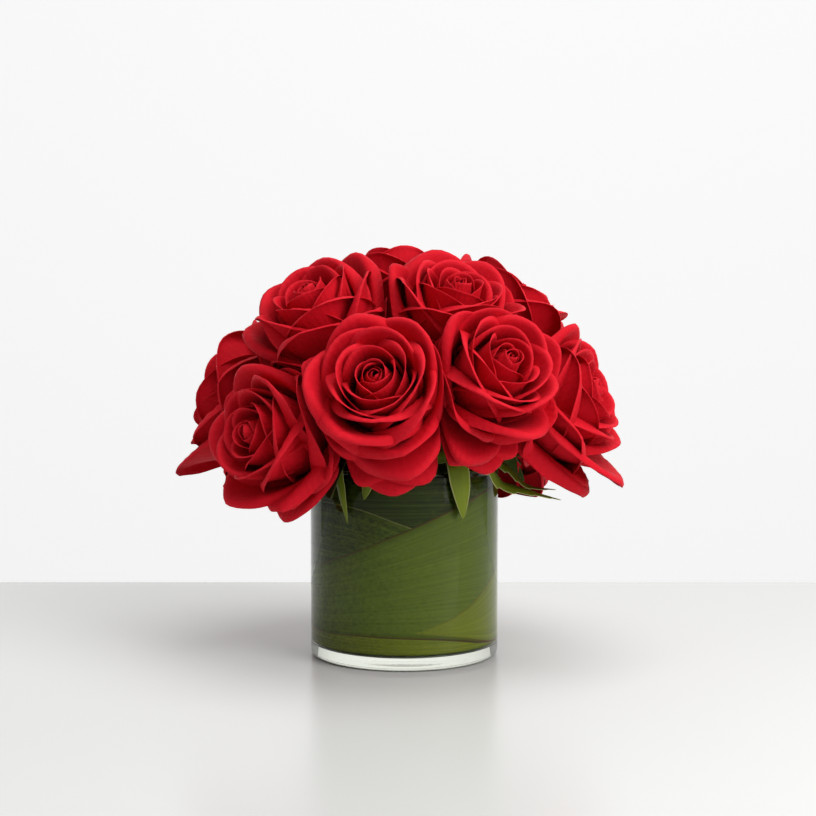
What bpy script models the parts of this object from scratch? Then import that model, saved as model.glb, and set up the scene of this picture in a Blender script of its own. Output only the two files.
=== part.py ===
"""A dome of twelve red roses in a leaf-lined glass cylinder vase.

Metres, +Z up, the origin at the centre of the vase's underside, the front of the bouquet towards -Y.
Every bloom faces away from one point, the heart of the dome, which lies on the vase's axis near its rim.
"""

import math

import bmesh
import bpy
from mathutils import Matrix, Vector

# The vase: a straight glass cylinder with a thick base, a fire-polished rim and a rounded heel.
VASE_RADIUS = 0.060
VASE_HEIGHT = 0.124
VASE_WALL = 0.0035
VASE_BASE = 0.008
HEEL_RADIUS = 0.0030
INNER_CORNER = 0.0010
VASE_STEPS = 48

# The leaves that line the inside of the wall, from the outermost layer inwards. Each is a band between two
# edges.
LINING_THICKNESS = 0.0004
LINING_GAP = 0.0004
LINING_BASE_GAP = 0.0005
LINING_RIM_DROP = 0.0020
LINING_STEP = 8.0  # degrees of wall between two columns of a leaf
# name: (azimuth where it starts, degrees that it wraps, upper edge, lower edge). An edge is its heights from
# start to end, evenly spaced, as shares of the lined wall.
LINING = {
    "lining_leaf_1": (
        -76.0,
        200.0,
        (0.16, 0.23, 0.36, 0.50, 0.58, 0.55, 0.45, 0.30),
        (0.12, 0.07, 0.02, 0.00, 0.00, 0.00, 0.05, 0.15),
    ),
    "lining_leaf_2": (
        -190.0,
        256.0,
        (0.40, 0.46, 0.56, 0.69, 0.81, 0.90, 0.93, 0.88, 0.75),
        (0.10, 0.08, 0.10, 0.10, 0.08, 0.02, 0.00, 0.10, 0.30),
    ),
    "lining_leaf_3": (
        -215.0,
        256.0,
        (0.60, 0.78, 0.84, 0.83, 0.73, 0.62, 0.55, 0.50, 0.40),
        (0.25, 0.30, 0.30, 0.30, 0.25, 0.20, 0.20, 0.20, 0.25),
    ),
    "lining_leaf_4": (
        -260.0,
        330.0,
        (0.25, 0.30, 0.33, 0.32, 0.30, 0.33, 0.30),
        (0.02, 0.00, 0.00, 0.00, 0.00, 0.00, 0.02),
    ),
    "lining_leaf_5": (
        -268.0,
        350.0,
        (0.96, 1.00, 0.98, 1.00, 0.97, 1.00, 0.96),
        (0.04, 0.02, 0.02, 0.02, 0.02, 0.02, 0.04),
    ),
}

# The dome: its heart lies this far over the rim.
DOME_RISE = 0.002
NECK_OVERHANG = 0.005  # a lower rose's hip stands this far outside the vase's outer wall
CROWN_RISE = 0.006  # an upper rose's hip is this much further from the dome's heart than a lower one's is
# from the vase's axis

# name: (azimuth, tilt from straight up, row, how far it stands out of its row)
# The angles are in degrees, with the front at -90.
ROSES = {
    "rose_01": (-99.0, 59.0, "lower", 0.000),
    "rose_02": (-55.0, 56.0, "lower", 0.000),
    "rose_03": (-142.0, 77.0, "lower", 0.001),
    "rose_04": (-15.0, 69.0, "lower", 0.006),
    "rose_05": (167.0, 71.0, "lower", 0.006),
    "rose_06": (33.0, 77.0, "lower", 0.003),
    "rose_07": (77.0, 70.0, "lower", 0.000),
    "rose_08": (122.0, 70.0, "lower", 0.002),
    "rose_09": (-147.0, 33.0, "crown", 0.004),
    "rose_10": (-51.0, 26.0, "crown", 0.000),
    "rose_11": (20.0, 37.0, "crown", 0.003),
    "rose_12": (100.0, 20.0, "crown", 0.000),
}

# A bloom, measured along its own axis from the top of its hip.
BLOOM_RADIUS = 0.046
BLOOM_HEIGHT = 0.062
HEART_RADIUS = 0.013
HEART_LENGTH = 0.034
HEART_CLEARANCE = 0.0010
PETAL_ROWS = 5  # petals round each row of lobes
BLOOM_STEPS = 20
HEART_STEPS = 10
NEIGHBOUR_GAP = 0.0008  # between two blooms that press on each other

# The green parts of a rose.
HIP_RADIUS = 0.0070
HIP_LENGTH = 0.012
HIP_FOOT_RADIUS = 0.0042
SEPAL_REACH = 0.0135
SEPAL_THICKNESS = 0.0010
SEPAL_REFLEX = 20.0  # degrees that a sepal leans back towards the stem
SEPALS = 5
STEM_RADIUS = 0.0030
STEM_FOOT_INSET = 0.0140  # from the inner wall to the middle of a stem's foot
STEM_WAIST_RADIUS = 0.026
STEM_WAIST_DROP = 0.024  # the waist of the crossing stems lies this far under the rim
STEM_TWIST = 45.0  # degrees that a stem turns round the vase between foot and waist
STRAIGHT_STEM_POINTS = 3
BEND_POINTS = 6
NECK_LENGTH = 0.004  # straight, right under the hip
TOUCH_GAP = 0.0003

# Colours: (red, green, blue, alpha), roughness
CLEAR_GLASS = ((0.93, 0.97, 0.95, 0.35), 0.03)
PETAL_RED = ((0.55, 0.006, 0.018, 1.0), 0.55)
HEART_RED = ((0.42, 0.003, 0.012, 1.0), 0.55)
SEPAL_GREEN = ((0.13, 0.19, 0.03, 1.0), 0.60)
STEM_GREEN = ((0.10, 0.17, 0.04, 1.0), 0.50)
LINING_GREEN = ((0.07, 0.15, 0.02, 1.0), 0.40)

INNER_RADIUS = VASE_RADIUS - VASE_WALL
DOME_HEART = Vector((0.0, 0.0, VASE_HEIGHT + DOME_RISE))


def clear_scene():
    for obj in list(bpy.data.objects):
        bpy.data.objects.remove(obj)


def new_collection(name):
    collection = bpy.data.collections.new(name)
    bpy.context.scene.collection.children.link(collection)
    return collection


def new_material(name, look):
    """A Principled BSDF with a colour, its alpha and a roughness."""
    colour, roughness = look
    material = bpy.data.materials.new(name)
    material.use_nodes = True
    surface = material.node_tree.nodes["Principled BSDF"]
    surface.inputs["Base Color"].default_value = colour
    surface.inputs["Alpha"].default_value = colour[3]
    surface.inputs["Roughness"].default_value = roughness
    surface.inputs["Metallic"].default_value = 0.0
    return material


def add_object(name, data, collection, material, parent=None):
    """An object of its own for one real piece, with its material."""
    obj = bpy.data.objects.new(name, data)
    collection.objects.link(obj)
    if not data.materials:
        data.materials.append(material)
    obj.parent = parent
    return obj


def polar(radius, azimuth, height):
    """A point by its distance from the vase's axis, its azimuth in degrees and its height."""
    angle = math.radians(azimuth)
    return Vector((radius * math.cos(angle), radius * math.sin(angle), height))


def arc(centre, radius, start, end, count):
    """Points (x, z) round a corner of a profile, with the angles in degrees."""
    angles = [math.radians(start + (end - start) * i / count) for i in range(count + 1)]
    return [(centre[0] + radius * math.cos(a), centre[1] + radius * math.sin(a)) for a in angles]


def between(values, share):
    """A value read at a share of the way along a row of evenly spaced values."""
    place = min(max(share, 0.0), 1.0) * (len(values) - 1)
    first = min(int(place), len(values) - 2)
    step = place - first
    return values[first] * (1 - step) + values[first + 1] * step


def turned_mesh(name, profile, steps):
    """The mesh of a profile (x, z) turned round the Z axis by a Screw modifier."""
    mesh = bpy.data.meshes.new(name)
    mesh.from_pydata([(x, 0.0, z) for x, z in profile], [(i, i + 1) for i in range(len(profile) - 1)], [])
    guide = bpy.data.objects.new(name + "_profile", mesh)
    bpy.context.scene.collection.objects.link(guide)
    screw = guide.modifiers.new("Turn", "SCREW")
    screw.axis = "Z"
    screw.steps = steps
    screw.render_steps = steps
    screw.use_merge_vertices = True
    screw.merge_threshold = 0.00001
    bpy.context.view_layer.update()
    graph = bpy.context.evaluated_depsgraph_get()
    turned = bpy.data.meshes.new_from_object(guide.evaluated_get(graph))
    turned.name = name
    bpy.data.objects.remove(guide)
    turned.shade_smooth()
    turned.set_sharp_from_angle(angle=math.radians(40))
    return turned


def make_vase(collection, material):
    """The glass cylinder: floor, inner wall, rounded rim, outer wall, rounded heel and flat underside."""
    rim_radius = VASE_WALL / 2
    rim = (VASE_RADIUS - rim_radius, VASE_HEIGHT - rim_radius)
    corner = (INNER_RADIUS - INNER_CORNER, VASE_BASE + INNER_CORNER)
    heel = (VASE_RADIUS - HEEL_RADIUS, HEEL_RADIUS)
    profile = [(0.0, VASE_BASE)]
    profile += arc(corner, INNER_CORNER, -90, 0, 2)
    profile += arc(rim, rim_radius, 180, 0, 4)
    profile += arc(heel, HEEL_RADIUS, 0, -90, 3)
    profile += [(0.0, 0.0)]
    return add_object("vase", turned_mesh("vase", profile, VASE_STEPS), collection, material)


def make_lining_leaf(name, layer, collection, material):
    """A broad leaf pressed round the inside of the wall, standing on the vase's floor."""
    start, wrap, upper, lower = LINING[name]
    radius = INNER_RADIUS - LINING_GAP - layer * (LINING_THICKNESS + LINING_GAP)
    floor = VASE_BASE + INNER_CORNER + LINING_BASE_GAP
    lined = VASE_HEIGHT - LINING_RIM_DROP - floor
    columns = round(wrap / LINING_STEP)
    blade = bmesh.new()
    bmesh.ops.create_grid(blade, x_segments=columns, y_segments=1, size=0.5)
    for vertex in blade.verts:
        along = vertex.co.x + 0.5
        edge = lower if vertex.co.y < 0 else upper
        vertex.co = polar(radius, start + wrap * along, floor + lined * between(edge, along))
    bmesh.ops.recalc_face_normals(blade, faces=blade.faces)
    if blade.faces[:][0].normal.dot(blade.faces[:][0].calc_center_median() * Vector((1, 1, 0))) < 0:
        bmesh.ops.reverse_faces(blade, faces=blade.faces)
    mesh = bpy.data.meshes.new(name)
    blade.to_mesh(mesh)
    blade.free()
    leaf = add_object(name, mesh, collection, material)
    thicken = leaf.modifiers.new("Blade", "SOLIDIFY")
    thicken.thickness = LINING_THICKNESS
    thicken.offset = -1.0
    return leaf


def rose_axis(name):
    azimuth, tilt, _, _ = ROSES[name]
    angle = math.radians(tilt)
    return polar(math.sin(angle), azimuth, math.cos(angle))


def hip_reach(name):
    """How far a rose's hip is from the heart of the dome. A lower rose leans out over the rim."""
    _, tilt, row, extra = ROSES[name]
    lower = VASE_RADIUS + NECK_OVERHANG
    if row == "crown":
        return lower + CROWN_RISE + extra
    return lower / math.sin(math.radians(tilt)) + extra


def rose_frame(name):
    """The matrix of a rose: its origin is the top of the hip and its Z axis the way the bloom faces."""
    axis = rose_axis(name)
    turn = axis.to_track_quat("Z", "Y").to_matrix().to_4x4()
    return Matrix.Translation(DOME_HEART + axis * hip_reach(name)) @ turn


def petal_profile():
    """The petals' outline by row, as (radius, height, lobe depth, lobe turn), from the hip to the pocket.

    The guard petals reach out at the bottom, the main petals round the middle, and the inner ones stand
    round the pocket that holds the heart.
    """
    pocket = HEART_RADIUS + HEART_CLEARANCE
    floor = BLOOM_HEIGHT - HEART_LENGTH - HEART_CLEARANCE
    reach, top = BLOOM_RADIUS, BLOOM_HEIGHT
    return [
        (0.0, TOUCH_GAP, 0.0, 0.0),
        (HIP_RADIUS, TOUCH_GAP, 0.0, 0.0),
        (0.80 * reach, -0.02 * top, 0.05, 0.0),
        (0.98 * reach, 0.10 * top, 0.06, 0.0),
        (0.88 * reach, 0.32 * top, 0.02, 0.0),
        (1.00 * reach, 0.66 * top, 0.05, 36.0),
        (0.96 * reach, 0.82 * top, 0.04, 36.0),
        (0.70 * reach, 0.95 * top, 0.04, 0.0),
        (pocket + 0.10 * reach, 0.90 * top, 0.02, 0.0),
        (pocket, 0.74 * top, 0.0, 0.0),
        (pocket, floor + 0.25 * HEART_LENGTH, 0.0, 0.0),
        (0.0, floor, 0.0, 0.0),
    ]


def petal_solid():
    """The open petals of one bloom before its neighbours press on it: a turned cup with lobed rows."""
    rows = petal_profile()
    cup = bmesh.new()
    mesh = turned_mesh("petals", [(r, z) for r, z, _, _ in reversed(rows)], BLOOM_STEPS)
    cup.from_mesh(mesh)
    bpy.data.meshes.remove(mesh)
    for vertex in cup.verts:
        radius = Vector((vertex.co.x, vertex.co.y)).length
        nearest = min(rows, key=lambda row: (row[0] - radius) ** 2 + (row[1] - vertex.co.z) ** 2)
        angle = math.atan2(vertex.co.y, vertex.co.x) - math.radians(nearest[3])
        swell = 1 + nearest[2] * math.cos(PETAL_ROWS * angle)
        vertex.co.x *= swell
        vertex.co.y *= swell
    return cup


def trim_to_cell(solid, name):
    """Cuts a bloom back to the space between it and its neighbours, which is bounded by planes through
    the heart of the dome, halfway between the two roses' axes."""
    to_local = rose_frame(name).inverted()
    turn = to_local.to_3x3()
    for other in ROSES:
        outward = rose_axis(other) - rose_axis(name)
        if other == name:
            continue
        outward.normalize()
        place = to_local @ (DOME_HEART - outward * NEIGHBOUR_GAP / 2)
        everything = solid.verts[:] + solid.edges[:] + solid.faces[:]
        cut = bmesh.ops.bisect_plane(
            solid, geom=everything, plane_co=place, plane_no=turn @ outward, clear_outer=True
        )
        rim = [piece for piece in cut["geom_cut"] if isinstance(piece, bmesh.types.BMEdge)]
        if rim:
            bmesh.ops.edgenet_fill(solid, edges=rim)
    bmesh.ops.recalc_face_normals(solid, faces=solid.faces)


def make_petals(name, place, collection, material):
    solid = petal_solid()
    trim_to_cell(solid, name)
    mesh = bpy.data.meshes.new(name + "_petals")
    solid.to_mesh(mesh)
    solid.free()
    return add_object(name + "_petals", mesh, collection, material, place)


def heart_mesh():
    """The rolled petals in the middle of a bloom, as one turned bud."""
    foot = BLOOM_HEIGHT - HEART_LENGTH
    profile = [
        (0.0, BLOOM_HEIGHT),
        (0.55 * HEART_RADIUS, BLOOM_HEIGHT - 0.02 * HEART_LENGTH),
        (0.92 * HEART_RADIUS, BLOOM_HEIGHT - 0.15 * HEART_LENGTH),
        (HEART_RADIUS, BLOOM_HEIGHT - 0.40 * HEART_LENGTH),
        (0.75 * HEART_RADIUS, foot + 0.20 * HEART_LENGTH),
        (0.0, foot),
    ]
    return turned_mesh("heart", profile, HEART_STEPS)


def calyx_mesh():
    """The hip with its star of sepals: a turned urn whose upper edge runs out into pointed lobes."""
    lean = math.radians(SEPAL_REFLEX)
    rim = HIP_RADIUS + 0.0012
    profile = [
        (0.0, 0.0),
        (HIP_RADIUS, 0.0),
        (rim, -0.0002),
        (rim - 0.0002, -0.0002 - SEPAL_THICKNESS),
        (HIP_RADIUS - 0.0004, -0.25 * HIP_LENGTH),
        (HIP_FOOT_RADIUS + 0.0008, -0.8 * HIP_LENGTH),
        (HIP_FOOT_RADIUS, -HIP_LENGTH),
        (0.0, -HIP_LENGTH),
    ]
    mesh = turned_mesh("calyx", profile, 4 * SEPALS)
    for vertex in mesh.vertices:
        radius = Vector((vertex.co.x, vertex.co.y)).length
        if radius <= HIP_RADIUS + 0.0001 or vertex.co.z < -0.15 * HIP_LENGTH:
            continue
        turn = math.atan2(vertex.co.y, vertex.co.x) * SEPALS / (2 * math.pi)
        lobe = abs((turn % 1.0) * 2 - 1) ** 1.5
        reach = SEPAL_REACH * lobe
        stretched = radius + reach * math.cos(lean)
        vertex.co.x *= stretched / radius
        vertex.co.y *= stretched / radius
        vertex.co.z -= reach * math.sin(lean)
    return mesh


def stem_slots():
    """Each rose's place round the waist: the roses in order of azimuth, evenly spaced."""
    order = sorted(ROSES, key=lambda name: ROSES[name][0])
    step = 360.0 / len(order)
    first = sum(ROSES[name][0] - step * k for k, name in enumerate(order)) / len(order)
    return {name: first + step * k for k, name in enumerate(order)}


def stem_route(name, slot):
    """A stem's middle line: straight from its foot to the waist, then one smooth bend to the hip."""
    foot_radius = INNER_RADIUS - STEM_FOOT_INSET
    waist = polar(STEM_WAIST_RADIUS, slot, VASE_HEIGHT - STEM_WAIST_DROP)
    foot = polar(foot_radius, slot - STEM_TWIST, VASE_BASE)
    rise = (waist - foot).normalized()
    foot.z += STEM_RADIUS * math.sqrt(1 - rise.z**2) + TOUCH_GAP
    axis = rose_axis(name)
    top = DOME_HEART + axis * (hip_reach(name) - HIP_LENGTH - TOUCH_GAP)
    neck = top - axis * NECK_LENGTH
    span = (neck - waist).length
    route = [foot.lerp(waist, i / STRAIGHT_STEM_POINTS) for i in range(STRAIGHT_STEM_POINTS)]
    for i in range(BEND_POINTS + 1):
        t = i / BEND_POINTS
        route.append(
            waist * (2 * t**3 - 3 * t**2 + 1)
            + rise * span * (t**3 - 2 * t**2 + t)
            + neck * (3 * t**2 - 2 * t**3)
            + axis * span * (t**3 - t**2)
        )
    return route + [top]


def make_stem(name, slot, collection, material):
    route = stem_route(name, slot)
    curve = bpy.data.curves.new(name + "_stem", "CURVE")
    curve.dimensions = "3D"
    curve.bevel_depth = STEM_RADIUS
    curve.bevel_resolution = 2
    curve.use_fill_caps = True
    line = curve.splines.new("POLY")
    line.points.add(len(route) - 1)
    for point, place in zip(line.points, route):
        point.co = (*place, 1.0)
    return add_object(name + "_stem", curve, collection, material)


def make_rose(name, slot, shared, collection, materials):
    """One rose: an empty on the top of its hip carries the calyx, the petals and the heart."""
    place = bpy.data.objects.new(name, None)
    collection.objects.link(place)
    place.matrix_world = rose_frame(name)
    make_petals(name, place, collection, materials["petal"])
    add_object(name + "_heart", shared["heart"], collection, materials["heart"], place)
    add_object(name + "_calyx", shared["calyx"], collection, materials["sepal"], place)
    make_stem(name, slot, collection, materials["stem"])


def main():
    clear_scene()
    collection = new_collection("roses_in_vase")
    materials = {
        "glass": new_material("clear_glass", CLEAR_GLASS),
        "lining": new_material("lining_leaf", LINING_GREEN),
        "petal": new_material("red_petal", PETAL_RED),
        "heart": new_material("dark_red_petal", HEART_RED),
        "sepal": new_material("sepal", SEPAL_GREEN),
        "stem": new_material("stem", STEM_GREEN),
    }
    make_vase(collection, materials["glass"])
    for layer, name in enumerate(LINING):
        make_lining_leaf(name, layer, collection, materials["lining"])
    shared = {"heart": heart_mesh(), "calyx": calyx_mesh()}
    for name, slot in stem_slots().items():
        make_rose(name, slot, shared, collection, materials)


main()
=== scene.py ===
# %% [markdown]
# # Red roses in a leaf-lined glass vase
#
# Twelve roses stand in a clear glass cylinder. Broad green leaves line the glass and hide the stems.
# Each petal, sepal and leaf here is a sheet of quads, bent the way the living one bends. We make one petal
# first, then a bloom from many of them, then the dome, and finish with glass, light and a camera.

import math
import random

import bmesh
import bpy
import numpy as np
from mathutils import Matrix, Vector


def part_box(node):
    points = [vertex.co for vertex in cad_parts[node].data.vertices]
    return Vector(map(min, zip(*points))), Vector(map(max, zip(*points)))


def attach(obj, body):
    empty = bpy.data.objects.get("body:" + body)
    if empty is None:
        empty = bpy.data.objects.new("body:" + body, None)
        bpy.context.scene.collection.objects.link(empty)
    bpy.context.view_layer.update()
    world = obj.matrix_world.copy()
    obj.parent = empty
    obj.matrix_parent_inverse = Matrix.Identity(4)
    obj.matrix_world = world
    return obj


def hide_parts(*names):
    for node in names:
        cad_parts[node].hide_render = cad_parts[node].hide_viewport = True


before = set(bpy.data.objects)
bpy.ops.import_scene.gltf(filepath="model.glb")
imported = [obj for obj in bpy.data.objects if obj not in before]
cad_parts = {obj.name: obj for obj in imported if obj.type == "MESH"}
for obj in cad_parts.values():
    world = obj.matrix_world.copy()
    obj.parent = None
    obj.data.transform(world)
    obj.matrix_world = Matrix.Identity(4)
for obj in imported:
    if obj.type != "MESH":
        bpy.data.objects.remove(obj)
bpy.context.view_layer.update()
ROSES = sorted(name[:-7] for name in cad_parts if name.endswith("_petals"))

# %% [markdown]
# ## Shader maths as plain Python
#
# A material's pattern is a formula. This small class wraps a node's output, so that `a * b + c` adds the
# Math nodes for us.

# %% Shader helper
class Value:
    """A node's output in a material, with Python's operators."""

    def __init__(self, tree, socket):
        self.tree = tree
        self.socket = socket

    def node(self, kind, settings=None, out=0, **inputs):
        """Adds any node: its settings first, then its inputs by name, as numbers or links."""
        node = self.tree.nodes.new(kind)
        for key, value in (settings or {}).items():
            setattr(node, key, value)
        for key, value in inputs.items():
            key = key.replace("_", " ")
            socket = next(s for s in node.inputs if s.name == key and s.enabled)
            connect(self.tree, socket, value)
        return Value(self.tree, node.outputs[out])

    def math(self, operation, *values):
        node = self.tree.nodes.new("ShaderNodeMath")
        node.operation = operation
        for socket, value in zip(node.inputs, values):
            connect(self.tree, socket, value)
        return Value(self.tree, node.outputs[0])

    def __add__(self, other):
        return self.math("ADD", self, other)

    def __radd__(self, other):
        return self.math("ADD", other, self)

    def __sub__(self, other):
        return self.math("SUBTRACT", self, other)

    def __rsub__(self, other):
        return self.math("SUBTRACT", other, self)

    def __mul__(self, other):
        return self.math("MULTIPLY", self, other)

    def __rmul__(self, other):
        return self.math("MULTIPLY", other, self)

    def __truediv__(self, other):
        return self.math("DIVIDE", self, other)

    def smooth(self, low, high):
        """0 below low, 1 above high, and a soft step between them."""
        node = self.tree.nodes.new("ShaderNodeMapRange")
        node.interpolation_type = "SMOOTHSTEP"
        connect(self.tree, node.inputs["Value"], self)
        node.inputs["From Min"].default_value = low
        node.inputs["From Max"].default_value = high
        return Value(self.tree, node.outputs["Result"])

    def mix(self, first, second):
        """The colour first where this is 0 and second where it is 1."""
        node = self.tree.nodes.new("ShaderNodeMix")
        node.data_type = "RGBA"
        connect(self.tree, node.inputs["Factor"], self)
        connect(self.tree, node.inputs[6], first)
        connect(self.tree, node.inputs[7], second)
        return Value(self.tree, node.outputs[2])


def connect(tree, socket, value):
    if isinstance(value, Value):
        tree.links.new(value.socket, socket)
    elif isinstance(value, tuple) and len(value) == 3 and socket.type == "RGBA":
        socket.default_value = (*value, 1.0)
    else:
        socket.default_value = value


def start_material(name):
    """A material with its Principled BSDF, and a first value to build from."""
    material = bpy.data.materials.new(name)
    material.use_nodes = True
    tree = material.node_tree
    surface = tree.nodes["Principled BSDF"]
    return material, surface, Value(tree, None)


def finish_material(tree_value, surface, constants=None, **links):
    for key, value in (constants or {}).items():
        connect(tree_value.tree, surface.inputs[key], value)
    for key, value in links.items():
        connect(tree_value.tree, surface.inputs[key.replace("_", " ")], value)

# %% [markdown]
# ## One petal
#
# A petal starts as a flat, rounded blade. Three things give it its shape. It follows a profile from the hip
# up and out. It wraps round the bloom's axis. And its lip rolls outwards over a fold line: a round fold gives
# the soft lips in the middle of a rose, and a more pointed fold gives the outer petals their tips.

# %% Profile of a petal
MM = 0.001
# Rows of petals, by the share of all petals further in: the bud in the middle, the bowl round it, the
# outer petals and the guard petals. For each: lip radius, lip height, lean at the base and at the lip,
# half width, width of the rolled lip, radius of its curl, and how round the fold line is.
LEVELS = (0.00, 0.08, 0.16, 0.24, 0.29, 0.38, 0.48, 0.58, 0.68, 0.78, 0.86, 0.93, 1.00)
LIP_RADIUS = (0.2, 2.4, 5.4, 9.0, 14.0, 19.5, 24.5, 30.0, 36.5, 43.0, 48.0, 51.0, 52.0)
LIP_HEIGHT = (60.5, 60.5, 60.5, 60.5, 61.5, 61.5, 61.0, 60.0, 58.0, 54.0, 46.0, 32.0, 12.0)
BASE_LEAN = (30.0, 38.0, 46.0, 52.0, 58.0, 62.0, 65.0, 68.0, 71.0, 74.0, 78.0, 84.0, 92.0)
LIP_LEAN = (-34.0, -26.0, -16.0, -8.0, 2.0, 8.0, 14.0, 21.0, 28.0, 36.0, 48.0, 66.0, 94.0)
HALF_WIDTH = (13.0, 16.0, 19.0, 23.0, 28.0, 34.0, 39.0, 43.0, 46.0, 46.5, 45.0, 42.0, 38.0)
LIP_ROLL = (0.6, 0.7, 0.8, 0.9, 1.0, 1.2, 1.5, 2.0, 2.8, 3.8, 4.8, 5.4, 5.2)
LIP_CURL = (0.8, 0.8, 0.9, 0.9, 1.0, 1.2, 1.5, 1.9, 2.3, 2.7, 3.0, 3.0, 3.0)
FOLD_POWER = (2.6, 2.6, 2.5, 2.4, 2.3, 2.1, 1.95, 1.8, 1.6, 1.45, 1.35, 1.3, 1.3)


def at_level(level, row):
    return float(np.interp(level, LEVELS, row))


def profile(level, samples=60):
    """The petal's middle line as radius, height and length along it, in mm, with the lip at the end."""
    lean_base = math.radians(at_level(level, BASE_LEAN))
    lean_lip = math.radians(at_level(level, LIP_LEAN))
    foot = np.array([2.0 + 2.5 * level, 1.0])
    lip = np.array([at_level(level, LIP_RADIUS), at_level(level, LIP_HEIGHT)])
    reach = np.linalg.norm(lip - foot)
    first = foot + 0.42 * reach * np.array([math.sin(lean_base), math.cos(lean_base)])
    second = lip - 0.42 * reach * np.array([math.sin(lean_lip), math.cos(lean_lip)])
    t = np.linspace(0, 1, samples)[:, None]
    line = (1 - t) ** 3 * foot + 3 * (1 - t) ** 2 * t * first + 3 * (1 - t) * t**2 * second + t**3 * lip
    length = np.concatenate([[0], np.cumsum(np.linalg.norm(np.diff(line, axis=0), axis=1))])
    return line[:, 0], line[:, 1], length


for level in (0.0, 0.5, 1.0):
    print("level", level, "length of a petal (mm):", round(profile(level)[2][-1], 1))

# %% Flat blade to bent petal
PETAL_CELLS = 18


def disc_grid(cells):
    """A square grid squeezed into a disc, so that its outer row follows the petal's edge all round.

    Its rows lie closer together towards the edge, where the lip rolls over."""
    line = np.linspace(-1, 1, cells + 1)
    line = line + 0.5 * np.sin(np.pi * line) / np.pi
    u, v = np.meshgrid(line, line)
    return u * np.sqrt(1 - v**2 / 2), v * np.sqrt(1 - u**2 / 2)


def smooth_step(value, low, high):
    share = np.clip((value - low) / (high - low), 0, 1)
    return share * share * (3 - 2 * share)


def petal_points(level, turn, chance, widen=1.0, lean=0.0):
    """The petal's points in mm, in the bloom's own frame, with z along its axis, and its flat coordinates.

    level is its row, turn is its azimuth in radians, and chance is a random source for its small accidents.
    """
    radius, height, length = profile(level)
    total = length[-1] * (1 + chance.uniform(-0.03, 0.03))
    half = at_level(level, HALF_WIDTH) * widen * (1 + chance.uniform(-0.06, 0.06))
    roll = at_level(level, LIP_ROLL) * (1 + chance.uniform(-0.25, 0.25))
    curl = at_level(level, LIP_CURL) * (1 + chance.uniform(-0.12, 0.12))
    power = at_level(level, FOLD_POWER) + chance.uniform(-0.08, 0.12)
    disc_x, disc_y = disc_grid(PETAL_CELLS)
    # A pointed petal's outline is pulled in towards its fold line.
    outline = min(max(power + 0.12, 1.42), 2.0)
    rim = np.maximum(np.hypot(disc_x, disc_y), 1e-6)
    high = np.maximum(disc_y, 0.0) / rim
    wide = np.sqrt(1 - high**2)
    pull = (wide**outline + high**outline) ** (-1 / outline)
    # Its edge is never quite even.
    ragged = chance.uniform(0, 6.28)
    around = np.arctan2(disc_x, disc_y)
    uneven = np.sin(6 * around + ragged) + 0.6 * np.sin(13 * around + 2.1 * ragged)
    pull = pull * (1 + 0.010 * level * uneven * rim**4)
    disc_x, disc_y = disc_x * pull, np.where(disc_y > 0, disc_y * pull, disc_y)
    up = (disc_y + 1) / 2
    x = disc_x * half * (0.42 + 0.58 * smooth_step(up, 0.0, 0.62))
    y = up * (total + roll)
    # The lip beyond the fold line turns over a small cylinder.
    skew = chance.uniform(-0.12, 0.12)
    middle = 0.40 * total
    off = x - skew * half
    soft = np.hypot(off, 0.07 * half)
    across = soft / (half * 0.84)
    above = np.maximum(y - middle, 0.0) / (total - middle)
    form = np.maximum((across**power + above**power) ** (1 / power), 1e-6)
    slope_x = off / soft * (across / form) ** (power - 1) / (half * 0.84)
    slope_y = (above / form) ** (power - 1) / (total - middle)
    slope = np.maximum(np.hypot(slope_x, slope_y), 1e-9)
    beyond = np.maximum((form - 1) / slope, 0.0) * smooth_step(up, 0.15, 0.5)
    turned = np.minimum(beyond / curl, 0.6 + 1.4 * level)
    rest = beyond - turned * curl
    slide = curl * np.sin(turned) + rest * np.cos(turned) - beyond
    x = x + slope_x / slope * slide
    y = y + slope_y / slope * slide
    out = curl * (1 - np.cos(turned)) + rest * np.sin(turned)
    # Waves along the edge, a soft midrib and a little cupping.
    edge = np.clip(np.hypot(disc_x, np.maximum(disc_y, 0)), 0, 1)
    phase = chance.uniform(0, 6.28)
    wave = chance.uniform(0.3, 1.0) * (0.4 + level)
    angle = np.arctan2(disc_x, disc_y + 1.2)
    out = out + wave * edge**3 * (np.sin(5 * angle + phase) + 0.5 * np.sin(11 * angle + 2.3 * phase))
    out = out + 0.5 * level * np.exp(-((x / 2.2) ** 2)) * smooth_step(up, 0.3, 0.9)
    # Up the profile, and straight on past its end.
    place = np.clip(y, 0, None)
    r = np.interp(place, length, radius)
    z = np.interp(place, length, height)
    ahead_r = np.interp(place, length, np.gradient(radius, length))
    ahead_z = np.interp(place, length, np.gradient(height, length))
    past = np.maximum(place - length[-1], 0.0)
    r = r + ahead_r * past + ahead_z * out
    z = z + ahead_z * past - ahead_r * out
    # The whole petal leans out a little more or less than its row, about its foot.
    tip = np.radians(lean) * smooth_step(up, 0.0, 0.6)
    r, z = r * np.cos(tip) + z * np.sin(tip), z * np.cos(tip) - r * np.sin(tip)
    spiral = 0.45 * (1 + 2 * level)
    wrap = x / np.maximum(r - np.maximum(out, 0) * 0.5, 4.5)
    r = np.maximum(r + spiral * x / half, 0.15)
    azimuth = turn + wrap
    points = np.stack([r * np.cos(azimuth), r * np.sin(azimuth), z], -1)
    return points, np.stack([disc_x, disc_y], -1)


print("points in a petal:", (PETAL_CELLS + 1) ** 2)

# %% [markdown]
# ## Twelve blooms that press on one another
#
# The frame says where each rose is: its axis runs from the middle of the calyx to the middle of the heart.
# The blooms of a tight dome touch, so a petal that would reach into its neighbour is pressed back to the
# plane halfway between them, more softly the deeper it would go.

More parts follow.
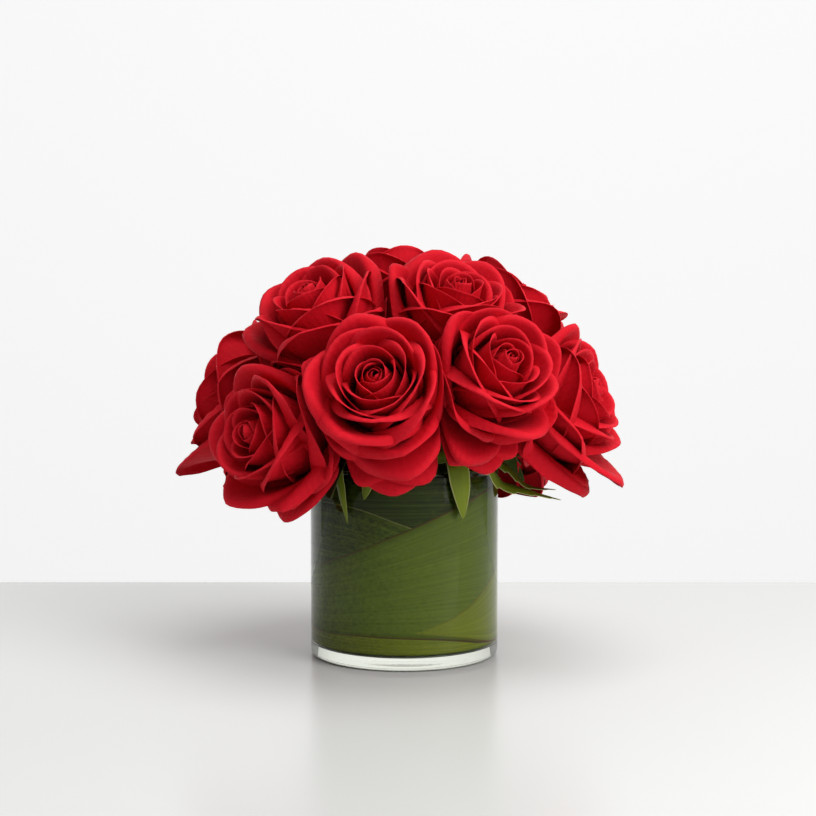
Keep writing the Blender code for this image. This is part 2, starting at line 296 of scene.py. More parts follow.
# %% Where each rose is
def centroid(node):
    """The middle of a node's volume."""
    mesh = bmesh.new()
    mesh.from_mesh(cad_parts[node].data)
    bmesh.ops.triangulate(mesh, faces=mesh.faces)
    total, moment = 0.0, Vector()
    for face in mesh.faces:
        a, b, c = (v.co for v in face.verts)
        volume = a.dot(b.cross(c)) / 6
        total += volume
        moment += volume * (a + b + c) / 4
    mesh.free()
    return moment / total


class Rose:
    def __init__(self, name):
        self.name = name
        hip = centroid(name + "_calyx")
        self.axis = (centroid(name + "_heart") - hip).normalized()
        reach = [(v.co - hip).dot(self.axis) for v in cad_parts[name + "_calyx"].data.vertices]
        self.top = hip + self.axis * max(reach)
        self.foot = hip + self.axis * min(reach)
        down = Vector((0, 0, -1)) + self.axis * self.axis.z
        self.down = down.normalized()
        self.side = self.down.cross(self.axis)
        self.chance = random.Random(int(name[-2:]) * 101)

    def to_world(self, points):
        """Points in mm in the bloom's frame, x sideways, y downhill and z along the axis, to metres."""
        turn = np.array([self.side, self.down, self.axis])
        return np.array(self.top) + (points * MM) @ turn


roses = {name: Rose(name) for name in ROSES}


def common_point(lines):
    """The point closest to every rose's axis: the heart of the dome."""
    total, moment = np.zeros((3, 3)), np.zeros(3)
    for rose in lines:
        across = np.eye(3) - np.outer(rose.axis, rose.axis)
        total += across
        moment += across @ np.array(rose.top)
    return Vector(np.linalg.solve(total, moment))


dome_heart = common_point(roses.values())
print("heart of the dome (mm):", [round(1000 * x, 1) for x in dome_heart])

# %% Pressing against the neighbours
PRESS_GAP = 0.0003
PRESS_SOFT = 0.007


def press(rose, points):
    """Moves points off the far side of the planes between this rose and the others."""
    for other in roses.values():
        if other is rose:
            continue
        normal = np.array((rose.axis - other.axis).normalized())
        depth = (points - np.array(dome_heart)) @ normal
        soft = PRESS_SOFT - PRESS_GAP
        squeezed = PRESS_GAP + soft * np.exp(np.minimum(depth - PRESS_SOFT, 0) / soft)
        move = np.where(depth < PRESS_SOFT, squeezed - depth, 0.0)
        points = points + move[..., None] * normal
    return points


# %% Sheets of quads
class Sheets:
    """Collects bent grids and makes them one mesh, with a flat map and a few numbers for the material."""

    def __init__(self):
        self.points, self.faces, self.flat, self.row, self.chance = [], [], [], [], []
        self.count = 0

    def add(self, points, flat, row, chance):
        rows, columns = points.shape[:2]
        index = np.arange(rows * columns).reshape(rows, columns) + self.count
        quads = np.stack([index[:-1, :-1], index[:-1, 1:], index[1:, 1:], index[1:, :-1]], -1)
        self.points.append(points.reshape(-1, 3))
        self.faces.append(quads.reshape(-1, 4))
        self.flat.append(flat.reshape(-1, 2))
        self.row.append(np.full(rows * columns, row))
        self.chance.append(np.full(rows * columns, chance))
        self.count += rows * columns

    def object(self, name, material, thickness):
        mesh = bpy.data.meshes.new(name)
        mesh.from_pydata(np.concatenate(self.points).tolist(), [], np.concatenate(self.faces).tolist())
        flat = np.concatenate(self.flat)
        corners = np.empty(len(mesh.loops), dtype=np.int32)
        mesh.loops.foreach_get("vertex_index", corners)
        mesh.uv_layers.new(name="flat").uv.foreach_set("vector", flat[corners].astype(np.float32).ravel())
        for key, values in (("row", self.row), ("chance", self.chance)):
            numbers = mesh.attributes.new(key, "FLOAT", "POINT")
            numbers.data.foreach_set("value", np.concatenate(values).astype(np.float32))
        mesh.materials.append(material)
        mesh.shade_smooth()
        piece = bpy.data.objects.new(name, mesh)
        bpy.context.scene.collection.objects.link(piece)
        if thickness:
            solid = piece.modifiers.new("Thickness", "SOLIDIFY")
            solid.thickness = thickness
            solid.offset = 0.0
        return piece


# %% [markdown]
# ## Petal material
#
# A red rose's petal is velvety: tiny domed cells scatter light sideways, which gives a soft pale sheen at
# grazing angles. Painted shade makes it deepest red towards its foot and in the heart, where the bloom is
# deep, and a painted highlight makes it a little lighter along its lip.

# %% Petal material
def petal_material():
    material, surface, start = start_material("velvet_red_petal")
    flat = start.node("ShaderNodeUVMap", {"uv_map": "flat"})
    row = start.node("ShaderNodeAttribute", {"attribute_name": "row"}, out=2)
    chance = start.node("ShaderNodeAttribute", {"attribute_name": "chance"}, out=2)
    axes = flat.node("ShaderNodeSeparateXYZ", Vector=flat)
    across = Value(axes.tree, axes.socket.node.outputs[0])
    up = Value(axes.tree, axes.socket.node.outputs[1])
    edge = (across * across + up * up).math("SQRT", across * across + up * up)
    lip = edge.smooth(0.86, 1.0)
    foot = 1 - up.smooth(-1.0, 0.3)
    cloud = start.node("ShaderNodeTexNoise", Scale=90.0, Detail=4.0, Roughness=0.55)
    cells = start.node("ShaderNodeTexNoise", Scale=2600.0, Detail=2.0)
    # Painted shade: darker towards the foot, deep inside the bloom.
    colour = foot.mix((0.59, 0.0050, 0.015), (0.33, 0.0006, 0.004))
    # Painted highlight: a little lighter along the lip, which catches the light.
    colour = (lip * 0.5).mix(colour, (0.76, 0.020, 0.036))
    # Painted shade: the inner rows, down in the heart, are darker.
    colour = ((1 - row.smooth(0.0, 0.5)) * 0.25).mix(colour, (0.47, 0.0016, 0.009))
    colour = (chance * 0.25).mix(colour, (0.72, 0.014, 0.030))
    colour = (cloud.smooth(0.35, 0.75) * 0.2).mix(colour, (0.45, 0.0014, 0.008))
    colour = (cells.smooth(0.45, 0.7) * 0.18).mix(colour, (0.74, 0.022, 0.040))
    # Veins fan out from the foot: stripes over the angle seen from a point below it.
    fan = across / (up + 1.6)
    stripes = (fan * 130.0 + cloud * 3.0).math("SINE", fan * 130.0 + cloud * 3.0)
    height = stripes * 0.3 + cells * 0.5 + cloud * 1.2
    bump = start.node("ShaderNodeBump", Strength=0.45, Distance=0.0006, Height=height)
    rough = 0.50 + cloud * 0.15
    finish_material(
        start,
        surface,
        {
            "Sheen Weight": 0.05,
            "Sheen Roughness": 0.45,
            "Sheen Tint": (1.0, 0.2, 0.24),
            "Specular IOR Level": 0.07,
        },
        Base_Color=colour,
        Roughness=rough,
        Normal=bump,
    )
    return material


petal_red = petal_material()

# %% Blooms
PETALS = 31
HEART_LEVEL = 0.26
PETAL_THICKNESS = 0.00035
GOLDEN = math.radians(137.508)
# The turn of each rose's spiral in degrees, so that no two blooms look alike.
SPIRAL_TURN = {name: 37.0 * k * k % 360 for k, name in enumerate(ROSES)}
STRAY_TURN = 0.14  # radians that an outer petal may stray from the even spiral
# Guard petals hang under a bloom. rose: for each, azimuth from downhill, lean in degrees, width, row and size
GUARDS = {
    "rose_01": (
        (-30, 24, 1.15, 0.97, 0.95),
        (4, 27, 1.2, 0.97, 0.95),
        (34, 22, 1.15, 0.97, 0.95),
        (20, 8, 1.15, 0.93, 0.97),
    ),
    "rose_02": ((-34, 18, 1.15, 0.97, 0.90), (4, 20, 1.2, 0.97, 0.88), (40, 18, 1.15, 0.97, 0.92)),
    "rose_03": ((-50, 4, 1.1, 0.95, 1.04), (-12, 4, 1.15, 0.97, 0.96), (20, -6, 1.1, 0.95, 0.86)),
    "rose_04": ((-4, 3, 1.1, 0.93, 1.10), (-6, 5, 1.1, 0.80, 1.18), (52, 6, 1.1, 0.95, 1.0)),
    "rose_05": ((8, 5, 1.05, 0.78, 1.22), (30, 9, 1.1, 0.93, 1.08), (-30, 10, 1.1, 0.95, 1.0)),
    "rose_06": ((-28, 12, 1.1, 0.97, 1.0), (20, 14, 1.1, 0.97, 1.0)),
    "rose_07": ((-30, 18, 1.1, 0.97, 1.0), (14, 22, 1.15, 0.97, 1.0)),
    "rose_08": ((-24, 18, 1.1, 0.97, 1.0), (28, 18, 1.1, 0.97, 1.0)),
    "rose_09": ((10, 14, 1.1, 0.97, 1.0), (-64, 6, 0.9, 0.95, 1.32)),
    "rose_10": ((0, 12, 1.1, 0.97, 1.0),),
    "rose_11": ((-10, 20, 0.9, 0.97, 1.28),),
    "rose_12": ((12, 12, 1.1, 0.97, 1.0),),
}


def make_bloom(rose):
    turn = SPIRAL_TURN[rose.name]
    heart, open_petals = Sheets(), Sheets()
    accident = random.Random(int(rose.name[-2:]) * 7 + 1)
    for k in range(PETALS):
        level = k / (PETALS - 1)
        chance = rose.chance
        lean = chance.uniform(-2.5, 2.5) * (0.3 + level)
        # Outer petals stray from the even spiral. The innermost ones stand straight, rolled into one another.
        stray = smooth_step(level, 0.4, 0.8)
        place = math.radians(turn) + k * GOLDEN + stray * accident.uniform(-STRAY_TURN, STRAY_TURN)
        lean = lean * smooth_step(level, 0.0, 0.2)
        if k > 0:
            lean = lean + stray * accident.uniform(-3.0, 4.0)
        points, flat = petal_points(level, place, chance, lean=lean)
        points = press(rose, rose.to_world(points))
        sheets = heart if level < HEART_LEVEL else open_petals
        sheets.add(points, flat, level, chance.random())
    for azimuth, lean, width, level, grown in GUARDS[rose.name]:
        points, flat = petal_points(level, math.radians(90 + azimuth), rose.chance, width, lean)
        open_petals.add(press(rose, rose.to_world(points * grown)), flat, level, rose.chance.random())
    for suffix, sheets in (("_heart", heart), ("_petals", open_petals)):
        piece = sheets.object(rose.name + suffix + "_bloom", petal_red, PETAL_THICKNESS)
        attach(piece, "root")
        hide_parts(rose.name + suffix)
        "dark_red_petal" if suffix == "_heart" else "red_petal"


for rose in roses.values():
    make_bloom(rose)
print("blooms done")


# %% [markdown]
# ## Hips and sepals
#
# Under each bloom is a small green urn, the hip, with five narrow sepals that have folded back towards the
# stem as the rose opened. They are dull green with a fine pale margin.

# %% Green materials
def blade_material(name, deep, light, margin, veins, gloss, tone=0.0, margin_width=0.10, shine=0.4):
    """A leaf's material over its flat map: x runs across the veins from -1 to 1 and y along the blade."""
    material, surface, start = start_material(name)
    flat = start.node("ShaderNodeUVMap", {"uv_map": "flat"})
    axes = flat.node("ShaderNodeSeparateXYZ", Vector=flat)
    across = Value(axes.tree, axes.socket.node.outputs[0])
    along = Value(axes.tree, axes.socket.node.outputs[1])
    chance = start.node("ShaderNodeAttribute", {"attribute_name": "chance"}, out=2)
    cloud = start.node("ShaderNodeTexNoise", Scale=45.0, Detail=5.0, Roughness=0.6)
    fine = start.node("ShaderNodeTexNoise", Scale=900.0, Detail=3.0)
    # Veins are a noise stretched along the blade, with a few stronger ones among them.
    lanes = start.node("ShaderNodeCombineXYZ", X=across * veins, Y=along * 0.35)
    streaks = start.node("ShaderNodeTexNoise", Vector=lanes, Scale=1.0, Detail=4.0, Roughness=0.75)
    rib = streaks.smooth(0.36, 0.66)
    side = across.math("ABSOLUTE", across)
    tint = (cloud * 0.7 + chance * 0.3 + along * 0.15 + tone).smooth(0.25, 0.85)
    colour = tint.mix(deep, light)
    colour = (rib * 0.30).mix(colour, light)
    colour = ((1 - rib) * 0.28).mix(colour, deep)
    colour = (side + fine * 0.04).smooth(1.0 - margin_width, 1.0).mix(colour, margin)
    height = rib * 0.5 + fine * 0.2 + cloud * 0.8
    bump = start.node("ShaderNodeBump", Strength=0.35, Distance=0.0004, Height=height)
    finish_material(
        start,
        surface,
        {"Specular IOR Level": shine, "Sheen Weight": 0.02},
        Base_Color=colour,
        Roughness=gloss + fine * 0.15,
        Normal=bump,
    )
    return material


sepal_green = blade_material(
    "sepal_green", (0.030, 0.055, 0.004), (0.13, 0.19, 0.018), (0.50, 0.52, 0.26), 14.0, 0.45
)

# %% Calyxes
BLADE_COLUMNS = 8
BLADE_ROWS = 18


def blade(line, side, width, fold=0.0, teeth=0.0, full=0.55):
    """A pointed blade along a line of points, with the directions of its sides, as points and flat map.

    width is its half width, fold lifts its two halves like a shallow V, and teeth makes notched edges.
    """
    line, side = np.array(line, float), np.array(side, float)
    side /= np.linalg.norm(side, axis=1)[:, None]
    ahead = np.gradient(line, axis=0)
    ahead /= np.linalg.norm(ahead, axis=1)[:, None]
    lift = np.cross(ahead, side)
    along = np.linspace(0, 1, len(line))
    shape = np.sin(np.pi * along ** (math.log(0.5) / math.log(full))) ** 0.8
    shape = np.maximum(shape, 0.16 * (1 - along)) + 0.004
    shape *= 1 + teeth * (np.mod(along * 6.5, 1.0) - 0.5)
    u = np.linspace(-1, 1, BLADE_COLUMNS + 1)
    reach = (shape * width)[:, None] * u
    points = line[:, None, :] + side[:, None, :] * reach[..., None]
    points = points + lift[:, None, :] * (fold * np.abs(reach))[..., None]
    flat = np.stack(np.broadcast_arrays(u[None, :], along[:, None]), -1)
    return points, flat


def curve_through(points, count):
    """A smooth line with even steps through a few points."""
    points = np.array(points, float)
    knots = np.concatenate([[0], np.cumsum(np.linalg.norm(np.diff(points, axis=0), axis=1))])
    slopes = np.gradient(points, knots, axis=0)
    place = np.linspace(0, knots[-1], count)
    index = np.clip(np.searchsorted(knots, place, side="right") - 1, 0, len(knots) - 2)
    span = knots[index + 1] - knots[index]
    t = ((place - knots[index]) / span)[:, None]
    a, b = points[index], points[index + 1]
    m, n = slopes[index] * span[:, None], slopes[index + 1] * span[:, None]
    return (
        (2 * t**3 - 3 * t**2 + 1) * a
        + (t**3 - 2 * t**2 + t) * m
        + (3 * t**2 - 2 * t**3) * b
        + (t**3 - t**2) * n
    )


# Radius and height of the hip, from its top down, in mm.
HIP_PROFILE = (
    (0.4, 0.1), (5.0, 0.2), (6.9, -0.4), (7.1, -2.0),
    (6.9, -4.5), (6.1, -7.5), (5.0, -10.0), (4.2, -11.9),
)


def make_calyx(rose):
    chance = rose.chance
    green = Sheets()
    turn = np.linspace(0, 2 * math.pi, 25)
    radius, height = np.array(HIP_PROFILE).T
    wavy = 1 + 0.03 * np.sin(5 * turn)[None, :]
    ring = np.stack(
        [
            radius[:, None] * np.cos(turn) * wavy,
            radius[:, None] * np.sin(turn) * wavy,
            height[:, None] + 0 * turn,
        ],
        -1,
    )
    flat = np.stack(np.broadcast_arrays(0.8 * np.cos(turn)[None, :], np.linspace(0, 1, 8)[:, None]), -1)
    green.add(rose.to_world(ring), flat, 0.0, chance.random())
    first = chance.uniform(0, 2 * math.pi)
    for k in range(5):
        angle = first + k * 2 * math.pi / 5 + chance.uniform(-0.15, 0.15)
        out = np.array([math.cos(angle), math.sin(angle), 0.0])
        across = np.array([-math.sin(angle), math.cos(angle), 0.0])
        length = chance.uniform(24, 30)
        back = chance.uniform(0.75, 1.0)
        route = [(6.0, -0.6), (9.5, -0.6), (13.5, -4.0 * back)]
        route += [(15.5, -0.5 * length * back), (14.0, -length * back)]
        line = curve_through([out * r + np.array([0, 0, z]) for r, z in route], BLADE_ROWS)
        line = line + np.outer(np.linspace(0, 1, BLADE_ROWS) ** 2, across) * chance.uniform(-4, 4)
        points, flat = blade(line, [across] * BLADE_ROWS, chance.uniform(3.4, 4.4), 0.25, 0.0, 0.35)
        green.add(rose.to_world(points), flat, 0.0, chance.random())
    piece = green.object(rose.name + "_sepals", sepal_green, 0.0004)
    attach(piece, "root")
    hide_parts(rose.name + "_calyx")


for rose in roses.values():
    make_calyx(rose)

# %% [markdown]
# ## Leaflets at the rim
#
# Some of the roses' own small leaves stick out between the blooms and the glass and hang over its rim. They
# are yellower than the lining, with a cream edge, and the two long ones on the right are toothed. Each follows
# a line given in polar steps round the vase, so it always starts inside the mouth and clears the wall.

# %% Rim leaflets
leaflet_green = blade_material(
    "leaflet_green", (0.045, 0.075, 0.002), (0.17, 0.22, 0.008), (0.50, 0.50, 0.20), 9.0, 0.40, 0.1, 0.10, 0.2
)
# For each: steps, half width, fold, teeth and where it is fullest. A step is an azimuth in degrees, a distance
# from the wall and a height above the rim in mm.
LEAFLETS = (
    (((-136, -9, 5), (-132, 2.0, 3), (-128, 4.5, -11), (-124, 3.2, -31)), 3.2, 0.5, 0.0, 0.35),
    (((-138, -9, 5), (-141, 2.0, 2), (-144, 4.0, -9)), 3.4, 0.4, 0.0, 0.45),
    (((-108, -6, 6), (-110, 2.5, 1), (-113, 4.0, -15)), 4.5, 0.3, 0.0, 0.45),
    (((-88, -4, 4), (-88, 2.0, 1), (-88, 2.6, -10)), 1.8, 0.3, 0.0, 0.5),
    (((-57, -12, 12), (-57, 1.0, 7), (-56, 4.0, -6), (-55, 4.5, -28)), 7.8, 0.18, 0.0, 0.42),
    (((-70, -12, 6), (-64, -6, 10), (-57, 1, 13)), 3.6, 0.3, 0.0, 0.5),
    (((-44, -12, 4), (-36, 2.5, 4), (-26, 9, -10), (-22, 24, -14), (-20, 45, -19)), 4.0, 0.3, 0.5, 0.35),
    (((-38, -12, 6), (-27, 2, 6), (-22, 12, -1), (-20, 21, -10), (-19, 41, -13)), 3.6, 0.3, 0.5, 0.4),
    (((20, -8, 4), (26, 2, 3), (33, 6, -9), (38, 7, -22)), 4.5, 0.3, 0.0, 0.4),
    (((74, -8, 4), (80, 2.5, 3), (84, 9, -8), (86, 20, -17)), 4.6, 0.3, 0.4, 0.4),
    (((132, -8, 4), (128, 2, 3), (125, 4, -12), (122, 4, -26)), 4.0, 0.3, 0.0, 0.4),
    (((176, -8, 4), (181, 2, 3), (186, 6, -8), (190, 14, -18)), 3.8, 0.3, 0.4, 0.4),
)


def make_leaflet(number, steps, half_width, fold, teeth, full):
    low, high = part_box("vase")
    chance = random.Random(900 + number)
    places = []
    for azimuth, gap, rise in steps:
        turn, reach = math.radians(azimuth), high.x + gap * MM
        places.append((reach * math.cos(turn), reach * math.sin(turn), high.z + rise * MM))
    line = curve_through(places, 3 * BLADE_ROWS)
    ahead = np.gradient(line, axis=0)
    out = line * np.array([1.0, 1.0, 0.0])
    out = out / np.linalg.norm(out, axis=1)[:, None] + np.array([0.0, 0.0, 0.25])
    side = np.cross(ahead, out)
    points, flat = blade(line, side, half_width * MM, fold, teeth, full)
    sheets = Sheets()
    sheets.add(points, flat, 0.0, chance.random())
    piece = sheets.object(f"rim_leaflet_{number}", leaflet_green, 0.0004)
    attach(piece, "root")


for number, leaflet in enumerate(LEAFLETS, 1):
    make_leaflet(number, *leaflet)

# %% [markdown]
# ## Leaves under the blooms
#
# A cut rose keeps a few of its own leaves close under the flower. They are broad, deep green and finely
# toothed, and fill the gaps that the round blooms leave between them, so that no light comes through.

# %% Stem leaves
stem_leaf_green = blade_material(
    "stem_leaf_green",
    (0.018, 0.034, 0.002),
    (0.06, 0.10, 0.010),
    (0.09, 0.11, 0.02),
    veins=10.0,
    gloss=0.45,
    margin_width=0.06,
    shine=0.2,
)
# For each: turn from downhill in degrees, then in mm its start along the axis from the hip's foot, its rise,
# its length and its half width.
STEM_LEAVES = (
    (40, -4, 18, 40, 11),
    (115, -6, 20, 42, 12),
    (180, -4, 22, 38, 11),
    (245, -6, 20, 42, 12),
    (320, -4, 18, 40, 11),
)


def make_stem_leaves(rose):
    chance = random.Random(500 + int(rose.name[-2:]))
    low = (rose.foot - rose.top).length / MM
    green = Sheets()
    for turn, start, rise, length, half_width in STEM_LEAVES:
        angle = math.radians(90 + turn + chance.uniform(-8, 8))
        out = np.array([math.cos(angle), math.sin(angle), 0.0])
        across = np.array([-math.sin(angle), math.cos(angle), 0.0])
        length = length * chance.uniform(0.9, 1.1)
        route = [(4.5, start), (0.35 * length, start + 0.2 * rise)]
        route += [(0.7 * length, start + 0.7 * rise), (length, start + rise)]
        line = curve_through([out * r + np.array([0, 0, z - low]) for r, z in route], 2 * BLADE_ROWS)
        points, flat = blade(line, [across] * len(line), half_width, 0.2, 0.12, 0.45)
        green.add(press(rose, rose.to_world(points)), flat, 0.0, chance.random())
    piece = green.object(rose.name + "_leaves", stem_leaf_green, 0.0004)
    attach(piece, "root")


for rose in roses.values():
    make_stem_leaves(rose)

# %% [markdown]
# ## Leaves that line the glass
#
# Broad strap leaves are wrapped round inside the cylinder, one over the other, so that the stems don't show.
# Their veins run side by side along the blade. The heights come from the CAD leaves. The radius comes from the
# vase's wall instead, because these wet blades touch the glass and the CAD ones stay just clear of it.

# %% Lining leaves
DEEP_LEAF = (0.022, 0.038, 0.0008)
LIGHT_LEAF = (0.20, 0.275, 0.030)
YOUNG_LEAF = (0.31, 0.36, 0.030)
# Wet leaves cling to the glass, so that no air shows between them. The outermost layer lies this far into the
# wall's inner skin, and each next one a step further in.
CLING_DEPTH = 0.0006
LAYER_STEP = 0.00012
END_LENGTH = 24.0  # degrees of wrap over which an end narrows
# leaf: start azimuth, wrap, upper edge, lower edge, tone, margin. The edges are shares of the lined height,
# evenly spaced from start to end.
LINING = {
    "lining_leaf_1": (
        -84.0,
        208.0,
        (0.13, 0.21, 0.36, 0.5, 0.58, 0.55, 0.45, 0.3),
        (0.125, 0.09, 0.02, 0.0, 0.0, 0.0, 0.05, 0.15),
        0.25,
        (0.3, 0.13, 0.02),
    ),
    "lining_leaf_2": (
        -190.0,
        256.0,
        (0.4, 0.46, 0.56, 0.69, 0.81, 0.9, 0.93, 0.88, 0.75),
        (0.1, 0.08, 0.1, 0.1, 0.08, 0.02, 0.0, 0.1, 0.3),
        0.0,
        # Its margin is partly the leaf's brownish edge and partly a painted shadow line along that edge.
        (0.17, 0.11, 0.03),
    ),
    "lining_leaf_3": (
        -215.0,
        256.0,
        (0.6, 0.78, 0.84, 0.83, 0.73, 0.62, 0.55, 0.5, 0.4),
        (0.25, 0.3, 0.3, 0.3, 0.25, 0.2, 0.2, 0.2, 0.25),
        -0.28,
        (0.3, 0.33, 0.1),
    ),
    "lining_leaf_4": (
        -262.0,
        374.0,
        (0.25, 0.3, 0.33, 0.32, 0.3, 0.33, 0.3),
        (0.02, 0.0, 0.0, 0.0, 0.0, 0.0, 0.02),
        -0.22,
        (0.05, 0.08, 0.01),
    ),
    "lining_leaf_5": (
        -272.0,
        376.0,
        (0.96, 1.0, 0.98, 1.0, 0.97, 1.0, 0.96),
        (0.04, 0.02, 0.02, 0.02, 0.02, 0.02, 0.04),
        -0.7,
        (0.08, 0.1, 0.02),
    ),
}
WALL = 0.0035
SMOOTHING = 13  # columns over which an edge is rounded off
LEAF_COLUMNS = 120
LEAF_ROWS = 12


def rounded_edge(heights, share):
    """The edge's height at each column, with its corners averaged away."""
    line = np.interp(share, np.linspace(0, 1, len(heights)), heights)
    kernel = np.ones(SMOOTHING) / SMOOTHING
    return np.convolve(np.pad(line, SMOOTHING // 2, mode="edge"), kernel, mode="valid")


def make_lining_leaf(name):
    start, wrap, upper, lower, tone, margin = LINING[name]
    floor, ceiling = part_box("lining_leaf_4")[0].z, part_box("lining_leaf_5")[1].z
    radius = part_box("vase")[1].x - WALL + CLING_DEPTH - LAYER_STEP * (int(name[-1]) - 1)
    share = np.linspace(0, 1, LEAF_COLUMNS + 1)
    top, bottom = rounded_edge(upper, share), rounded_edge(lower, share)
    across = np.linspace(-1, 1, LEAF_ROWS + 1)
    # Both ends of the blade narrow to a point.
    end = np.clip(np.minimum(share, 1 - share) * wrap / END_LENGTH, 0, 1)
    taper = np.sqrt(1 - (1 - end) ** 2)[:, None]
    span = (top - bottom)[:, None] * taper * across / 2 + (top + bottom)[:, None] / 2
    z = floor + (ceiling - floor) * span
    azimuth = np.radians(start + wrap * share)[:, None]
    r = radius - LAYER_STEP * 0.7 * share[:, None] + 0.00001 * np.sin(azimuth * 9 + z * 180)
    points = np.stack([r * np.cos(azimuth), r * np.sin(azimuth), z + 0 * r], -1)
    flat = np.stack(np.broadcast_arrays(across[None, :], share[:, None] * wrap / 60), -1)
    sheets = Sheets()
    sheets.add(points, flat, 0.0, 0.5)
    veins = 30.0 * max(top - bottom)
    light = YOUNG_LEAF if name in ("lining_leaf_1", "lining_leaf_4") else LIGHT_LEAF
    material = blade_material(name, DEEP_LEAF, light, margin, veins, 0.40, tone, 0.018, 0.10)
    piece = sheets.object(name + "_blade", material, 0.00006)
    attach(piece, "root")
    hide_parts(name)


for name in LINING:
    make_lining_leaf(name)

# %% [markdown]
# ## Glass
#
# The vase keeps its CAD sizes and is turned again with more steps. Its glass is nearly colourless, with faint
# waves from the making and a few smudges that only show in a highlight.

# %% Glass
def glass_material():
    material, surface, start = start_material("clear_glass")
    waves = start.node("ShaderNodeTexNoise", Scale=22.0, Detail=2.0)
    smudge = start.node("ShaderNodeTexNoise", Scale=60.0, Detail=6.0, Roughness=0.7)
    bump = start.node("ShaderNodeBump", Strength=0.04, Distance=0.0006, Height=waves)
    finish_material(
        start,
        surface,
        {
            "IOR": 1.5,
            "Transmission Weight": 1.0,
            "Alpha": 1.0,
            "Specular Tint": (0.3, 0.3, 0.3),
        },
        Base_Color=smudge.smooth(0.2, 0.9).mix((0.87, 0.895, 0.81), (0.86, 0.89, 0.80)),
        Roughness=smudge.smooth(0.55, 0.8) * 0.012,
        Normal=bump,
    )
    return material


def rounded(centre, radius, start, end, count):
    """Points (x, z) round a corner of a profile, from one angle to another in degrees."""
    turn = np.radians(np.linspace(start, end, count))
    return [(centre[0] + radius * math.cos(a), centre[1] + radius * math.sin(a)) for a in turn]


VASE_STEPS = 160
HEEL = 0.0030  # radius of the rounded outer edge of the underside
CORNER = 0.0010  # radius between the inner wall and the floor of the vase


def make_vase():
    low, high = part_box("vase")
    outer, top = high.x, high.z
    inner = outer - WALL
    corners = [v.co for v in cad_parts["vase"].data.vertices]
    base = min(c.z for c in corners if math.hypot(c.x, c.y) < inner - CORNER / 2)
    print("vase (mm): radius, height and base", [round(1000 * x, 1) for x in (outer, top, base)])
    half = WALL / 2
    profile = [(0.0, base), (inner * 0.5, base)]
    profile += rounded((inner - CORNER, base + CORNER), CORNER, -90, 0, 5)
    profile += rounded((outer - half, top - half), half, 180, 0, 15)
    profile += rounded((outer - HEEL, HEEL), HEEL, 0, -90, 9)
    profile += [(outer * 0.5, 0.0), (0.0, 0.0)]
    mesh = bpy.data.meshes.new("glass")
    mesh.from_pydata([(x, 0.0, z) for x, z in profile], [(i, i + 1) for i in range(len(profile) - 1)], [])
    piece = bpy.data.objects.new("glass_cylinder", mesh)
    bpy.context.scene.collection.objects.link(piece)
    screw = piece.modifiers.new("Turn", "SCREW")
    screw.steps = screw.render_steps = VASE_STEPS
    screw.use_merge_vertices = True
    screw.merge_threshold = 0.00001
    screw.use_smooth_shade = True
    mesh.materials.append(glass_material())
    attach(piece, "root")
    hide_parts("vase")


make_vase()


def paint(node, material):
    """Gives a CAD node a better material in its own slots."""
    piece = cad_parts[node]
    for slot in piece.material_slots:
        slot.material = material


# %% [markdown]
# ## Stems
#
# Rose stems are green with a waxy bloom, with small scars and spots.

# %% Stems
def stem_material():
    material, surface, start = start_material("rose_stem")
    coords = start.node("ShaderNodeTexCoord", out=3)
    cloud = start.node("ShaderNodeTexNoise", Vector=coords, Scale=60.0, Detail=4.0)
    spots = start.node("ShaderNodeTexVoronoi", Vector=coords, Scale=350.0)
    colour = cloud.smooth(0.3, 0.7).mix((0.05, 0.10, 0.012), (0.12, 0.20, 0.03))
    colour = (1 - spots.smooth(0.05, 0.2)).mix(colour, (0.10, 0.06, 0.02))
    bump = start.node("ShaderNodeBump", Strength=0.3, Distance=0.0004, Height=cloud + spots * 0.3)
    finish_material(
        start,
        surface,
        {"Specular IOR Level": 0.4},
        Base_Color=colour,
        Roughness=0.42 + cloud * 0.15,
        Normal=bump,
    )
    return material


stem_green = stem_material()
for name in ROSES:
    paint(name + "_stem", stem_green)

# %% [markdown]
# ## Floor and backdrop
#
# The bouquet stands on a plain pale table, smooth enough to give a faint mirror image of the vase. The table
# ends a little behind it, at a level edge, and beyond is a bright, even wall. The floor lies a hair under the
# glass, so that light still gets in between the two and the thick base stays clear.

# %% Stage
def plain_material(name, colour, roughness):
    material, surface, start = start_material(name)
    cloud = start.node("ShaderNodeTexNoise", Scale=3.0, Detail=5.0)
    finish_material(
        start,
        surface,
        {"Specular IOR Level": 0.22},
        Base_Color=(cloud.smooth(0.3, 0.7) * 0.5).mix(colour, tuple(0.97 * c for c in colour)),
        Roughness=cloud * 0.1 + roughness,
    )
    return material


def stage_plane(name, size, place, tilt, material):
    mesh = bpy.data.meshes.new(name)
    grid = bmesh.new()
    bmesh.ops.create_grid(grid, x_segments=1, y_segments=1, size=size / 2)
    grid.to_mesh(mesh)
    grid.free()
    mesh.materials.append(material)
    piece = bpy.data.objects.new(name, mesh)
    bpy.context.scene.collection.objects.link(piece)
    piece.location = place
    piece.rotation_euler = (tilt, 0, 0)
    return piece


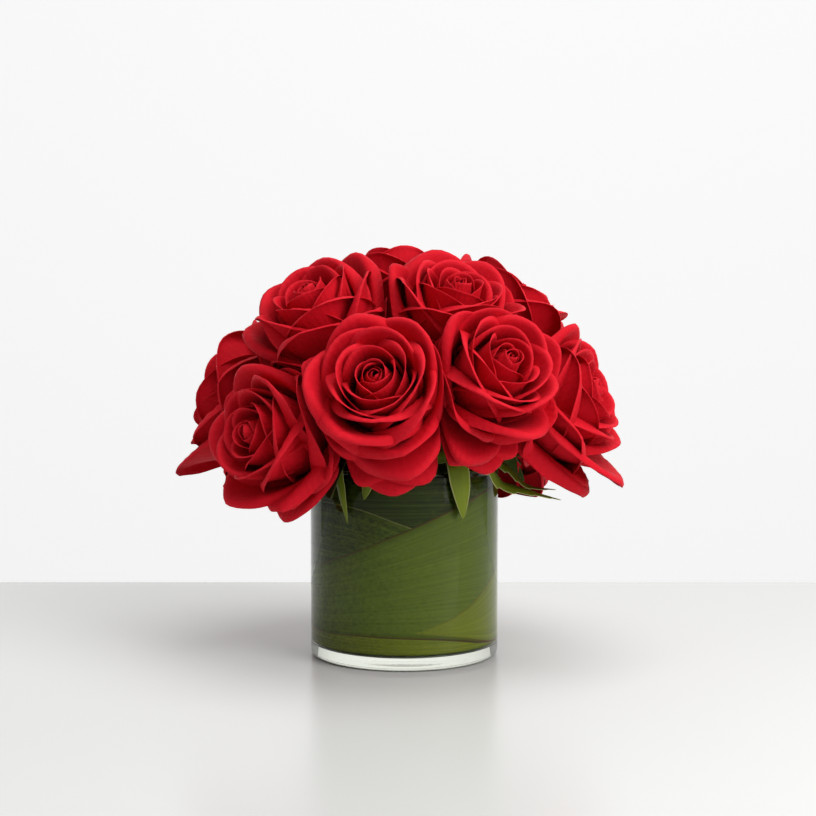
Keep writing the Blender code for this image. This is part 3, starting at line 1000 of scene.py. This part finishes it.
floor_white = plain_material("floor_white", (0.665, 0.67, 0.655), 0.20)
TABLE_EDGE = 0.232  # the far edge of the table, behind the vase
TABLE_SIZE = 6.0
UNDER_GLASS = 0.0004
stage_plane("floor", TABLE_SIZE, (0, TABLE_EDGE - TABLE_SIZE / 2, -UNDER_GLASS), 0.0, floor_white)
wall_white, wall_surface, wall_start = start_material("wall_white")
finish_material(
    wall_start,
    wall_surface,
    {
        "Base Color": (0.9, 0.9, 0.9),
        "Roughness": 0.9,
        "Emission Color": (1.0, 1.0, 1.0),
        "Emission Strength": 0.44,
    },
)
stage_plane("backdrop", 8.0, (0, 2.5, 0), math.radians(90), wall_white)


# %% [markdown]
# ## Light
#
# A large soft key light from the front right models the petals, and a weak fill from the left keeps that side
# deep. A broad light overhead brightens the crown. A small one low on the right picks out the leaves in the
# vase. The world adds a little light from everywhere, so that no shadow turns black.

# %% Lights
def soft_light(name, place, aim, width, height, power):
    data = bpy.data.lights.new(name, "AREA")
    data.shape = "RECTANGLE"
    data.size, data.size_y = width, height
    data.energy = power
    light = bpy.data.objects.new(name, data)
    light.location = place
    light.rotation_euler = (Vector(aim) - Vector(place)).to_track_quat("-Z", "Y").to_euler()
    bpy.context.scene.collection.objects.link(light)


soft_light("key", (1.25, -1.25, 1.25), (0, 0, 0.15), 1.2, 1.6, 30)
soft_light("fill", (-1.6, -0.5, 0.7), (0, 0, 0.15), 0.9, 1.4, 2.6)
soft_light("window", (0.60, -0.38, 0.22), (0, 0, 0.12), 0.26, 0.36, 0.5)
soft_light("top", (0.3, -0.2, 1.9), (0, 0, 0.1), 1.4, 1.4, 21)

world = bpy.data.worlds.new("studio")
bpy.context.scene.world = world
world.use_nodes = True
world.node_tree.nodes["Background"].inputs["Color"].default_value = (1, 1, 1, 1)
world.node_tree.nodes["Background"].inputs["Strength"].default_value = 0.30

# %% [markdown]
# ## Camera
#
# The camera looks down a little from two metres away, with a long lens that keeps the vase's sides upright.

# %% Camera
bpy.context.scene.view_settings.view_transform = "Standard"
CAMERA_PLACE = Vector((0.0024, -2.0, 0.440))
CAMERA_DOWN = math.radians(8.015)
data = bpy.data.cameras.new("camera")
data.sensor_width = 36.0
data.lens = 139.8
data.clip_start = 0.05
camera = bpy.data.objects.new("camera", data)
camera.location = CAMERA_PLACE
camera.rotation_euler = (math.radians(90) - CAMERA_DOWN, 0, 0)
bpy.context.scene.collection.objects.link(camera)
bpy.context.scene.camera = camera
